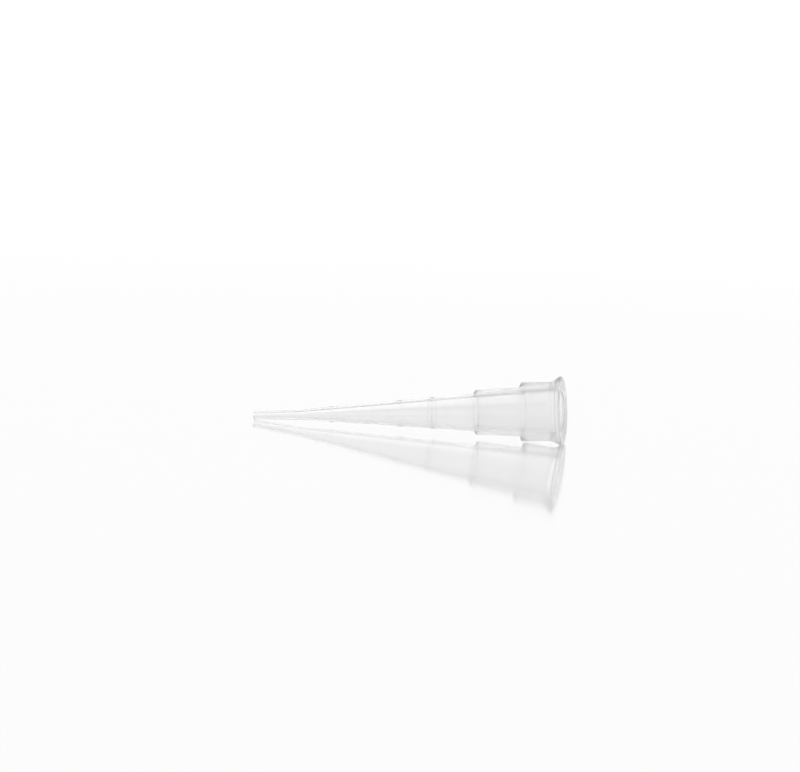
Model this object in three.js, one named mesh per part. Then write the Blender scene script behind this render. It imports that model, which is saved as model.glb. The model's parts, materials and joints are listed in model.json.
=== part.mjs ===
// A fine laboratory pipette tip: one thin-walled moulding in translucent polypropylene, turned about one
// axis. It has a flared mouth with a flat rim, a wide head collar, a narrower second collar, a long cone
// with three raised graduation rings, and a fine end that closes down to a small orifice.
//
// Millimetres, +Z up. The tip lies on its side as it comes to rest, on the back corner of its rim and on
// its fine end. The mouth looks along +X, and the origin is under the middle of its box.
import * as THREE from "three";

// Overall sizes
const tipLength = 32;
const segments = 72;

// Mouth: a lip at the full diameter, a shallow groove behind it, then a flare down to the head collar
const rimDiameter = 7.0;
const lipWidth = 0.33;
const lipRound = 0.12;
const lipStep = 0.16;
const grooveDepth = 0.08;
const grooveWidth = 0.14;
const flareLength = 1.24;

// Head collar and second collar, each ending in a flat shoulder
const headDiameter = 5.96;
const headLength = 4.16;
const collarMouthDiameter = 4.98;
const collarEndDiameter = 4.5;
const collarLength = 4.68;
const cornerRound = 0.1;

// Cone and fine end
const coneRootDiameter = 3.86;
const coneRootWall = 0.34;
const coneEndDiameter = 1.06;
const coneEndWall = 0.23;
const fineLength = 4.9;
const endDiameter = 0.82;
const orificeDiameter = 0.4;
const endRound = 0.05;

// Graduation rings on the cone: distance from the fine end, height above the cone, width over all, and
// the length of each sloping side
const ringStations = [8.15, 15.3, 18.67];
const ringHeight = 0.04;
const ringWidth = 0.36;
const ringSlope = 0.08;

// Bore: a rounded mouth and a slightly tapered seat for the pipette's nozzle. Past the seat a short slope
// leads into one long taper, which the walls of the cone set.
const mouthRound = 0.16;
const seatMouthDiameter = 4.24;
const seatEndDiameter = 4.0;
const seatDepth = 3.6;
const seatSlope = 0.3;

const plasticColour = 0xeceff0;
const plasticRoughness = 0.28;
const plasticOpacity = 0.5;

// How finely the turned profile follows its small corners, the bore's mouth and the flare
const cornerSteps = 3;
const mouthSteps = 4;
const flareSteps = 5;

// The most of either straight run beside it that a rounded corner takes up
const cornerShare = 0.45;

// Every profile point is (radius, distance back from the mouth face). A lathe turns it about its own Y.
const point = (radius, back) => new THREE.Vector2(radius, -back);

// A rounded corner between two straight runs: a few points along the curve that joins them.
function corner(before, at, after, round, steps = cornerSteps) {
  const shorterRun = Math.min(at.distanceTo(before), at.distanceTo(after));
  const reach = Math.min(round, cornerShare * shorterRun);
  const towardsBefore = before.clone().sub(at).normalize();
  const towardsAfter = after.clone().sub(at).normalize();
  const start = at.clone().addScaledVector(towardsBefore, reach);
  const end = at.clone().addScaledVector(towardsAfter, reach);
  return new THREE.QuadraticBezierCurve(start, at, end).getPoints(steps);
}

// The cone between its two ends, as distances back from the mouth face. Its outside and its bore each
// taper evenly, and the bore's taper runs on through the second collar to the seat.
const coneStart = headLength + collarLength;
const coneEnd = tipLength - fineLength;
function alongCone(back, rootRadius, endRadius) {
  const share = (back - coneStart) / (coneEnd - coneStart);
  return rootRadius + share * (endRadius - rootRadius);
}
const coneRadius = (back) => alongCone(back, coneRootDiameter / 2, coneEndDiameter / 2);
const boreRadius = (back) =>
  alongCone(back, coneRootDiameter / 2 - coneRootWall, coneEndDiameter / 2 - coneEndWall);

// The flare leaves the head collar smoothly and widens towards the lip, like the bell of a horn.
function flarePoints() {
  const wide = point(rimDiameter / 2 - lipStep, lipWidth + grooveWidth);
  const narrow = point(headDiameter / 2, lipWidth + grooveWidth + flareLength);
  const waist = point(headDiameter / 2, lipWidth + grooveWidth + flareLength / 2);
  return new THREE.QuadraticBezierCurve(wide, waist, narrow).getPoints(flareSteps);
}

// One raised ring: a low flat band that rises from the cone and falls back to it.
function ringPoints(fromEnd) {
  const start = tipLength - fromEnd - ringWidth / 2;
  const end = start + ringWidth;
  return [
    point(coneRadius(start), start),
    point(coneRadius(start + ringSlope) + ringHeight, start + ringSlope),
    point(coneRadius(end - ringSlope) + ringHeight, end - ringSlope),
    point(coneRadius(end), end),
  ];
}

// Outside of the tip, from the mouth face to the fine end.
function outsidePoints() {
  const rim = rimDiameter / 2;
  const head = headDiameter / 2;
  const groove = point(rim - lipStep - grooveDepth, lipWidth + grooveWidth / 2);
  const lipFront = point(rim, 0);
  const lipBack = point(rim, lipWidth);
  const headCorner = point(head, headLength);
  const collarFoot = point(collarMouthDiameter / 2, headLength);
  const collarCorner = point(collarEndDiameter / 2, coneStart);
  const coneFoot = point(coneRootDiameter / 2, coneStart);
  const coneTop = point(coneEndDiameter / 2, coneEnd);
  const endCorner = point(endDiameter / 2, tipLength);
  return [
    ...corner(point(0, 0), lipFront, lipBack, lipRound),
    lipBack,
    groove,
    ...flarePoints(),
    ...corner(lipBack.clone().setX(head), headCorner, collarFoot, cornerRound),
    ...corner(headCorner, collarFoot, collarCorner, cornerRound),
    ...corner(collarFoot, collarCorner, coneFoot, cornerRound),
    ...corner(collarCorner, coneFoot, coneTop, cornerRound),
    ...[...ringStations].sort((a, b) => b - a).flatMap(ringPoints),
    coneTop,
    ...corner(coneTop, endCorner, point(orificeDiameter / 2, tipLength), endRound),
  ];
}

// Inside of the tip, from the orifice back to the mouth face.
function borePoints() {
  const seatEnd = point(seatEndDiameter / 2, seatDepth);
  const mouthCorner = point(seatMouthDiameter / 2, 0);
  const taperStart = seatDepth + seatSlope;
  return [
    point(orificeDiameter / 2, tipLength),
    point(boreRadius(coneEnd), coneEnd),
    point(boreRadius(taperStart), taperStart),
    seatEnd,
    ...corner(seatEnd, mouthCorner, point(rimDiameter / 2, 0), mouthRound, mouthSteps),
  ];
}

// The angle at which the tip lies: the flattest line from the lip's back corner that clears the outside,
// measured across the flats of the turned faces, one of which is undermost.
function restTilt(outside) {
  const rim = rimDiameter / 2;
  const acrossFlats = Math.cos(Math.PI / segments);
  const slopes = outside
    .filter((p) => -p.y > lipWidth)
    .map((p) => (acrossFlats * (rim - p.x)) / (-p.y - lipWidth));
  return Math.atan(Math.min(...slopes));
}

function pipetteTip() {
  const outside = outsidePoints();
  const profile = [...outside, ...borePoints()];
  profile.push(profile[0].clone());
  const geometry = new THREE.LatheGeometry(profile.reverse(), segments);
  geometry.rotateY(Math.PI / segments);
  geometry.rotateZ(-Math.PI / 2);
  geometry.rotateY(-restTilt(outside));
  geometry.computeBoundingBox();
  const box = geometry.boundingBox;
  const middle = box.getCenter(new THREE.Vector3());
  geometry.translate(-middle.x, -middle.y, -box.min.z);
  const material = new THREE.MeshStandardMaterial({
    color: plasticColour,
    roughness: plasticRoughness,
    metalness: 0,
    transparent: true,
    opacity: plasticOpacity,
  });
  const mesh = new THREE.Mesh(geometry, material);
  mesh.name = "pipette_tip";
  return mesh;
}

const model = new THREE.Group();
model.add(pipetteTip());

export default model;
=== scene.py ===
import json
import math

import bpy
import numpy as np
from mathutils import Matrix, Vector


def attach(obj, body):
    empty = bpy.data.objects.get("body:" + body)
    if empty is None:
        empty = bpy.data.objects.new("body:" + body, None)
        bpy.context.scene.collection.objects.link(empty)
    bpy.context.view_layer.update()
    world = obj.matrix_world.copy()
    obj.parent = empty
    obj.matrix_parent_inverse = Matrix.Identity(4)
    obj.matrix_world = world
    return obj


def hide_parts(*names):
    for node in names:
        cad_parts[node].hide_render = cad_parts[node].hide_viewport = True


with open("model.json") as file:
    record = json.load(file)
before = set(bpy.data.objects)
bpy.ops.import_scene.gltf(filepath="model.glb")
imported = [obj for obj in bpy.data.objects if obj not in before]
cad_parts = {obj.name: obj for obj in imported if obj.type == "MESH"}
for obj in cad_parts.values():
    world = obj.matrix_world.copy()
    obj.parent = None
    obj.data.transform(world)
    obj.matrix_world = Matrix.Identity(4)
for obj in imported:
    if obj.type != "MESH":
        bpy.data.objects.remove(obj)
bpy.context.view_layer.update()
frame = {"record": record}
mm = 0.001

# Lengths in millimetres. "back" is the distance behind the mouth face, along the tip's own axis, and
# each "Round" is the radius to which corners of the outline are rounded.
tip = {
    "length": 32.0,
    "rimRadius": 3.5,
    "lipWidth": 0.33,
    "lipRound": 0.12,
    "lipBackRound": 0.05,
    "lipStep": 0.16,
    "grooveWidth": 0.14,
    "grooveDepth": 0.08,
    "grooveRound": 0.03,
    "flareLength": 1.24,
    "flareRimRound": 0.04,
    "flareBendShare": 0.55,
    "flareBendRound": 1.2,
    "headRadius": 2.98,
    "headLength": 4.16,
    "collarMouthRadius": 2.49,
    "collarEndRadius": 2.25,
    "collarLength": 4.68,
    "shoulderRound": 0.03,
    "shoulderFootRound": 0.1,
    "coneRootRadius": 1.93,
    "coneRootWall": 0.34,
    "coneEndRadius": 0.53,
    "coneEndWall": 0.23,
    "coneEndRound": 6.0,
    "fineLength": 4.9,
    "endRadius": 0.41,
    "endRound": 0.06,
    "orificeRadius": 0.2,
    "orificeRound": 0.04,
    "mouthRound": 0.16,
    "seatMouthRadius": 2.12,
    "seatEndRadius": 2.0,
    "seatDepth": 3.6,
    "seatSlope": 0.3,
    "seatRound": 0.3,
    "ringsFromEnd": (8.15, 15.3, 18.67),
    "ringHeight": 0.04,
    "ringWidth": 0.36,
    "ringSlope": 0.165,
    "ringRound": 0.12,
    # Painted shade along the moulded edges: how strong it is on each ring and on the collar, and how
    # far it reaches.
    "ringEdgeShade": (0.0, 0.08, 0.6),
    "ringShadeReach": 0.045,
    "collarEdgeShade": 0.2,
    "collarShadeReach": 0.1,
    "wallEvenedOver": 0.3,
    "wallSamples": 9,
    "around": 432,
    "runStep": 1.2,
    "arcStep": 15.0,
    "cornerRoom": 0.45,
    "guardLength": 0.03,
    "guardShare": 0.2,
}


# A corner of the outline: how far back it lies, its radius from the axis, and how much it is rounded.
def corner(back, radius, rounding):
    return np.array([back, radius, rounding])


# Radii of the cone's outside and of the bore: each falls evenly with distance, from the cone's root
# to its end, and the bore's taper runs on to the seat.
def alongCone(t, back, root, end):
    coneStart = t["headLength"] + t["collarLength"]
    coneEnd = t["length"] - t["fineLength"]
    return root + (back - coneStart) / (coneEnd - coneStart) * (end - root)


def coneRadius(t, back):
    return alongCone(t, back, t["coneRootRadius"], t["coneEndRadius"])


def taperRadius(t, back):
    rootRadius = t["coneRootRadius"] - t["coneRootWall"]
    endRadius = t["coneEndRadius"] - t["coneEndWall"]
    return alongCone(t, back, rootRadius, endRadius)


# Outside of the moulding, from the mouth face over the lip and down the stepped collars to the fine
# end. Each ring is a low band on the cone.
def outsideCorners(t):
    coneStart = t["headLength"] + t["collarLength"]
    coneEnd = t["length"] - t["fineLength"]
    flareStart = t["lipWidth"] + t["grooveWidth"]
    flareBend = flareStart + t["flareBendShare"] * t["flareLength"]
    flareRadius = t["rimRadius"] - t["lipStep"]
    grooveMiddle = flareStart - t["grooveWidth"] / 2
    corners = [
        corner(0, t["rimRadius"], t["lipRound"]),
        corner(t["lipWidth"], t["rimRadius"], t["lipBackRound"]),
        corner(grooveMiddle, flareRadius - t["grooveDepth"], t["grooveRound"]),
        corner(flareStart, flareRadius, t["flareRimRound"]),
        corner(flareBend, t["headRadius"], t["flareBendRound"]),
        corner(t["headLength"], t["headRadius"], t["shoulderRound"]),
        corner(t["headLength"], t["collarMouthRadius"], t["shoulderFootRound"]),
        corner(coneStart, t["collarEndRadius"], t["shoulderRound"]),
        corner(coneStart, t["coneRootRadius"], t["shoulderFootRound"]),
    ]
    for fromEnd in sorted(t["ringsFromEnd"], reverse=True):
        start = t["length"] - fromEnd - t["ringWidth"] / 2
        end = start + t["ringWidth"]
        lifted = ((start, 0), (start + t["ringSlope"], 1), (end - t["ringSlope"], 1), (end, 0))
        for back, lift in lifted:
            radius = coneRadius(t, back) + lift * t["ringHeight"]
            corners.append(corner(back, radius, t["ringRound"]))
    corners.append(corner(coneEnd, t["coneEndRadius"], t["coneEndRound"]))
    corners.append(corner(t["length"], t["endRadius"], t["endRound"]))
    return np.array(corners)


# Bore of the moulding, from the orifice up the long taper to the nozzle's seat and the rounded mouth.
def boreCorners(t):
    coneEnd = t["length"] - t["fineLength"]
    taperStart = t["seatDepth"] + t["seatSlope"]
    return np.array([
        corner(t["length"], t["orificeRadius"], t["orificeRound"]),
        corner(coneEnd, taperRadius(t, coneEnd), t["coneEndRound"]),
        corner(taperStart, taperRadius(t, taperStart), t["seatRound"]),
        corner(t["seatDepth"], t["seatEndRadius"], t["seatRound"]),
        corner(0, t["seatMouthRadius"], t["mouthRound"]),
    ])


# How thick the wall is at each distance behind the mouth face: the outside's radius less the bore's,
# evened out over a short length.
def wallThickness(outside, bore, back, t):
    near = back[:, None] + np.linspace(-0.5, 0.5, t["wallSamples"]) * t["wallEvenedOver"]
    near = np.clip(near, bore[-1, 0], bore[0, 0])
    outer = np.interp(near, outside[:, 0], outside[:, 1])
    inner = np.interp(near, bore[::-1, 0], bore[::-1, 1])
    return (outer - inner).mean(1)


# How strongly each point is darkened by painted shade, which stands in for the dark lines that
# refraction
# draws along moulded edges: mostly on both sides of the ring nearest the second collar, faintly on the
# next ring and the collar's corner, and none a short way from them or on the bore.
def edgeShadeShare(outline, t):
    back, radius = outline[:, 0], outline[:, 1]
    collarReach = t["collarShadeReach"]
    collarPlace = t["headLength"] + t["collarLength"] - collarReach / 2
    edges = [(collarPlace, collarReach, t["collarEdgeShade"])]
    for fromEnd, strength in zip(t["ringsFromEnd"], t["ringEdgeShade"]):
        for side in (-0.5, 0.5):
            place = t["length"] - fromEnd + side * t["ringWidth"]
            edges.append((place, t["ringShadeReach"], strength))
    places, reaches, strengths = np.array(edges).T
    apart = np.abs(back[:, None] - places)
    shares = np.clip(2 - 2 * apart / reaches, 0, 1) * strengths
    onOutside = radius > taperRadius(t, back) + t["ringHeight"]
    return shares.max(1) * onOutside


# Rounds each corner by a true arc that touches both of its edges, and fills the straight runs
# between. An arc's reach along an edge is rounding / tan(half the corner's angle), held under half of
# the edge. A guard point close to each end of a run keeps the run's shading straight.
def roundedOutline(corners, t):
    places = corners[:, :2]
    toLast = np.roll(places, 1, 0) - places
    toNext = np.roll(places, -1, 0) - places
    lastLength = np.linalg.norm(toLast, axis=1)
    nextLength = np.linalg.norm(toNext, axis=1)
    toLast = toLast / lastLength[:, None]
    toNext = toNext / nextLength[:, None]
    half = np.arccos(np.clip((toLast * toNext).sum(1), -1, 1)) / 2
    room = t["cornerRoom"] * np.minimum(lastLength, nextLength)
    reach = np.minimum(corners[:, 2] / np.tan(half), room)
    rounding = reach * np.tan(half)
    arcs = []
    for i in range(len(corners)):
        start = places[i] + toLast[i] * reach[i]
        inward = toLast[i] + toNext[i]
        centre = places[i] + inward / np.linalg.norm(inward) * rounding[i] / math.sin(half[i])
        turn = math.pi - 2 * half[i]
        side = math.copysign(1, toNext[i][0] * toLast[i][1] - toNext[i][1] * toLast[i][0])
        count = max(3, int(math.ceil(math.degrees(turn) / t["arcStep"])) + 1)
        angles = side * np.linspace(0, turn, count)
        spoke = start - centre
        arcs.append(centre + np.stack([
            spoke[0] * np.cos(angles) - spoke[1] * np.sin(angles),
            spoke[0] * np.sin(angles) + spoke[1] * np.cos(angles),
        ], 1))
    outline = []
    for arc, nextArc in zip(arcs, arcs[1:] + arcs[:1]):
        run = nextArc[0] - arc[-1]
        length = np.linalg.norm(run)
        count = max(1, int(round(length / t["runStep"])))
        guard = min(t["guardLength"] / length, t["guardShare"])
        shares = np.concatenate([[guard], np.arange(1, count) / count, [1 - guard]])
        outline += [arc, arc[-1] + np.unique(shares)[:, None] * run]
    return np.concatenate(outline)


# Turns the outline about the tip's axis: a point goes to mouth - axis * back + radius * (across * cos
# angle + up * sin angle).
def revolve(name, outline, mouth, axis, around):
    across = np.array([0.0, 1.0, 0.0])
    up = np.cross(axis, across)
    angles = np.arange(around) * 2 * math.pi / around
    spokes = np.cos(angles)[:, None] * across + np.sin(angles)[:, None] * up
    centres = mouth - outline[:, :1] * mm * axis
    places = centres[:, None] + (outline[:, 1] * mm)[:, None, None] * spokes
    rows = len(outline)
    row, column = np.meshgrid(np.arange(rows), np.arange(around), indexing="ij")
    here = row * around + column
    onward = row * around + (column + 1) % around
    below = (row + 1) % rows * around + column
    belowOnward = (row + 1) % rows * around + (column + 1) % around
    faces = np.stack([here, below, belowOnward, onward], -1).reshape(-1, 4)
    mesh = bpy.data.meshes.new(name)
    mesh.from_pydata(places.reshape(-1, 3).tolist(), [], faces.tolist())
    mesh.polygons.foreach_set("use_smooth", np.ones(len(faces), bool))
    mesh.update()
    piece = bpy.data.objects.new(name, mesh)
    bpy.context.scene.collection.objects.link(piece)
    return piece


# Gives each row of the outline's points one number that the plastic's shader reads by name.
def writeByRow(piece, name, values, around):
    attribute = piece.data.attributes.new(name, "FLOAT", "POINT")
    attribute.data.foreach_set("value", np.repeat(values, around))


seat = next(m for m in frame["record"]["mounts"] if m["name"] == "mouth_face")
axis = np.array(seat["axis"])
axis /= np.linalg.norm(axis)
mouth = np.array([seat["pos_m"][0], 0.0, seat["pos_m"][2]])

outside = outsideCorners(tip)
bore = boreCorners(tip)
outline = roundedOutline(np.concatenate([outside, bore]), tip)
wall = wallThickness(outside, bore, outline[:, 0], tip)
tipPiece = revolve("pipetteTip", outline, mouth, axis, tip["around"])
writeByRow(tipPiece, "wallThickness", wall, tip["around"])
# Painted shade: darker lines along the ring and collar edges, standing in for the shade that refraction
# shows there.
writeByRow(tipPiece, "paintedEdgeShade", edgeShadeShare(outline, tip), tip["around"])
pointCount = len(tipPiece.data.vertices)
print("tip made:", pointCount, "points, walls of", wall.min(), "to", wall.max(), "mm")


# Adds a shader node, with its settings and its inputs. An input takes a value or another node's output.
def addNode(tree, kind, settings, inputs):
    node = tree.nodes.new("ShaderNode" + kind)
    for name, value in settings.items():
        setattr(node, name, value)
    for name, value in inputs.items():
        if isinstance(value, bpy.types.NodeSocket):
            tree.links.new(value, node.inputs[name])
        else:
            node.inputs[name].default_value = value
    return node


# Natural polypropylene is clear where it is thin and milky where it is thick. Each pair is the value
# in the thinnest wall and in the thickest.
plastic = {
    "thinColour": (0.953, 0.953, 0.955, 1.0),
    "thickColour": (0.994, 0.994, 0.996, 1.0),
    # The edge colour is painted shade: a dark grey for the lines that the moulded edges show by
    # refraction.
    "edgeShadeColour": (0.6, 0.6, 0.6, 1.0),
    "ior": 1.49,
    "walls": (0.2, 0.95),
    "transmission": (0.97, 0.86),
    "roughness": (0.04, 0.18),
}


def polypropylene(p):
    material = bpy.data.materials.new("clearPolypropylene")
    material.use_nodes = True
    tree = material.node_tree
    shader = tree.nodes["Principled BSDF"]
    shader.inputs["IOR"].default_value = p["ior"]
    thick = addNode(tree, "Attribute", {"attribute_name": "wallThickness"}, {})
    edge = addNode(tree, "Attribute", {"attribute_name": "paintedEdgeShade"}, {})

    def byWall(ends):
        spread = addNode(tree, "MapRange", {}, {
            "Value": thick.outputs["Fac"],
            "From Min": p["walls"][0],
            "From Max": p["walls"][1],
            "To Min": ends[0],
            "To Max": ends[1],
        })
        return spread.outputs["Result"]

    tint = addNode(tree, "Mix", {"data_type": "RGBA"}, {
        "Factor": byWall((0.0, 1.0)),
        "A": p["thinColour"],
        "B": p["thickColour"],
    })
    # Painted shade: mixes the dark edge colour into the tint along the moulded edges.
    edgeShaded = addNode(tree, "Mix", {"data_type": "RGBA"}, {
        "Factor": edge.outputs["Fac"],
        "A": tint.outputs["Result"],
        "B": p["edgeShadeColour"],
    })
    tree.links.new(edgeShaded.outputs["Result"], shader.inputs["Base Color"])
    tree.links.new(byWall(p["transmission"]), shader.inputs["Transmission Weight"])
    tree.links.new(byWall(p["roughness"]), shader.inputs["Roughness"])
    return material


tipPiece.data.materials.append(polypropylene(plastic))
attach(tipPiece, "root")
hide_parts("pipette_tip")
print("finish made")


# The floor is polished white acrylic, more of a mirror the lower it is looked along: "mirror" pairs
# how far the view leans away from straight down with the share that is reflected. A board and a lamp
# stand on the horizon, and their reach is the cosine of the angle from their middle, from the outer
# edge to full strength.
studio = {
    "floorHalf": 3.0,
    "floorDrop": 0.00001,
    "floorColour": (0.95, 0.95, 0.95, 1.0),
    "floorGlow": 0.8,
    "mirrorColour": (0.98, 0.98, 0.98, 1.0),
    "mirrorLean": (0.34, 0.75),
    "mirrorShare": (0.2, 0.88),
    "mirrorRoughness": 0.1,
    "skyByHeight": (
        (0.0, 1.25), (0.12, 1.25), (0.2, 1.0), (0.55, 1.0), (0.61, 0.48), (0.72, 0.48), (0.8, 1.0),
    ),
    "board": {"toward": (-0.95, 0.31, 0.0), "reach": (0.7, 0.85), "level": 0.05},
    "lamp": {"toward": (0.95, 0.31, 0.0), "reach": (0.84, 0.94), "level": 1.4},
}


# Rays that leave a matt surface see the floor's own white colour, lit by the sky, and all others see
# it partly glowing.
def studioFloor(s):
    half = s["floorHalf"]
    corners = [(-half, -half, 0), (half, -half, 0), (half, half, 0), (-half, half, 0)]
    mesh = bpy.data.meshes.new("floor")
    mesh.from_pydata(corners, [], [(0, 1, 2, 3)])
    floor = bpy.data.objects.new("floor", mesh)
    bpy.context.scene.collection.objects.link(floor)
    floor.location.z = -s["floorDrop"]
    material = bpy.data.materials.new("floorAcrylic")
    material.use_nodes = True
    tree = material.node_tree
    tree.nodes.clear()
    path = addNode(tree, "LightPath", {}, {})
    lean = addNode(tree, "LayerWeight", {}, {})
    glow = addNode(tree, "Emission", {}, {})
    diffuse = addNode(tree, "BsdfDiffuse", {}, {"Color": s["floorColour"]})
    gloss = addNode(tree, "BsdfGlossy", {}, {
        "Color": s["mirrorColour"],
        "Roughness": s["mirrorRoughness"],
    })
    seen = addNode(tree, "Math", {"operation": "SUBTRACT"}, {
        0: 1.0,
        1: path.outputs["Is Diffuse Ray"],
    })
    glowing = addNode(tree, "Math", {"operation": "MULTIPLY"}, {
        0: seen.outputs["Value"],
        1: s["floorGlow"],
    })
    share = addNode(tree, "MapRange", {}, {
        "Value": lean.outputs["Facing"],
        "From Min": s["mirrorLean"][0],
        "From Max": s["mirrorLean"][1],
        "To Min": s["mirrorShare"][0],
        "To Max": s["mirrorShare"][1],
    })
    base = addNode(tree, "MixShader", {}, {
        0: glowing.outputs["Value"],
        1: diffuse.outputs["BSDF"],
        2: glow.outputs["Emission"],
    })
    surface = addNode(tree, "MixShader", {}, {
        0: share.outputs["Result"],
        1: base.outputs["Shader"],
        2: gloss.outputs["BSDF"],
    })
    addNode(tree, "OutputMaterial", {}, {"Surface": surface.outputs["Shader"]})
    floor.data.materials.append(material)


# One patch on the sky's horizon: its level in the middle, and 1 outside its reach.
def skyPatch(tree, direction, patch):
    near = addNode(tree, "VectorMath", {"operation": "DOT_PRODUCT"}, {
        0: direction,
        1: patch["toward"],
    })
    level = addNode(tree, "MapRange", {"interpolation_type": "SMOOTHSTEP"}, {
        "Value": near.outputs["Value"],
        "From Min": patch["reach"][0],
        "From Max": patch["reach"][1],
        "To Min": 1.0,
        "To Max": patch["level"],
    })
    return level.outputs["Result"]


# The room's brightness by height: bright round the horizon, a darker band above it, and a white
# ceiling. The dark board draws the edges of the mouth, and the lamp lights the shoulders. The board
# shows only through the plastic, so that the floor stays white from every side.
def studioSky(s):
    world = bpy.data.worlds.new("studio")
    bpy.context.scene.world = world
    world.use_nodes = True
    tree = world.node_tree
    tree.nodes.clear()
    path = addNode(tree, "LightPath", {}, {})
    direction = addNode(tree, "TexCoord", {}, {}).outputs["Generated"]
    split = addNode(tree, "SeparateXYZ", {}, {0: direction})
    ramp = addNode(tree, "ValToRGB", {}, {"Fac": split.outputs["Z"]})
    stops = ramp.color_ramp.elements
    stops[0].position, stops[1].position = s["skyByHeight"][0][0], s["skyByHeight"][-1][0]
    for place, level in s["skyByHeight"][1:-1]:
        stops.new(place)
    for stop, (place, level) in zip(stops, s["skyByHeight"]):
        stop.color = (level, level, level, 1)
    bare = addNode(tree, "Math", {"operation": "LESS_THAN"}, {
        0: path.outputs["Transmission Depth"],
        1: 0.5,
    })
    hidden = addNode(tree, "Math", {"operation": "MAXIMUM"}, {
        0: bare.outputs["Value"],
        1: skyPatch(tree, direction, s["board"]),
    })
    shaded = addNode(tree, "VectorMath", {"operation": "SCALE"}, {
        0: ramp.outputs["Color"],
        "Scale": hidden.outputs["Value"],
    })
    lit = addNode(tree, "VectorMath", {"operation": "SCALE"}, {
        0: shaded.outputs["Vector"],
        "Scale": skyPatch(tree, direction, s["lamp"]),
    })
    white = addNode(tree, "Mix", {"data_type": "RGBA"}, {
        "Factor": path.outputs["Is Camera Ray"],
        "A": lit.outputs["Vector"],
        "B": (1, 1, 1, 1),
    })
    background = addNode(tree, "Background", {}, {"Color": white.outputs["Result"]})
    addNode(tree, "OutputWorld", {}, {"Surface": background.outputs["Background"]})


studioFloor(studio)
studioSky(studio)
print("studio made")


cameraSet = {
    "azimuth": 10.29,
    "elevation": 14.3,
    "roll": 2.06,
    "distance": 0.26957,
    "aim": (-0.00091, 0.0, 0.00475),
    "lens": 119.7,
    "nearest": 0.001,
    "farthest": 20.0,
}


def placeCamera(c):
    data = bpy.data.cameras.new("camera")
    data.lens = c["lens"]
    data.clip_start = c["nearest"]
    data.clip_end = c["farthest"]
    camera = bpy.data.objects.new("camera", data)
    bpy.context.scene.collection.objects.link(camera)
    turn, rise = math.radians(c["azimuth"]), math.radians(c["elevation"])
    level = math.cos(rise)
    back = Vector((math.sin(turn) * level, -math.cos(turn) * level, math.sin(rise)))
    look = (-back).to_track_quat("-Z", "Y").to_matrix().to_4x4()
    roll = Matrix.Rotation(math.radians(c["roll"]), 4, "Z")
    place = Matrix.Translation(Vector(c["aim"]) + back * c["distance"])
    camera.matrix_world = place @ look @ roll
    bpy.context.scene.camera = camera


placeCamera(cameraSet)
bpy.context.scene.view_settings.view_transform = "Standard"

# Light that enters a clear wall is reflected many times inside it, so its paths are followed further.
paths = bpy.context.scene.cycles
paths.max_bounces = 32
paths.glossy_bounces = 24
paths.transmission_bounces = 32
paths.diffuse_bounces = 8
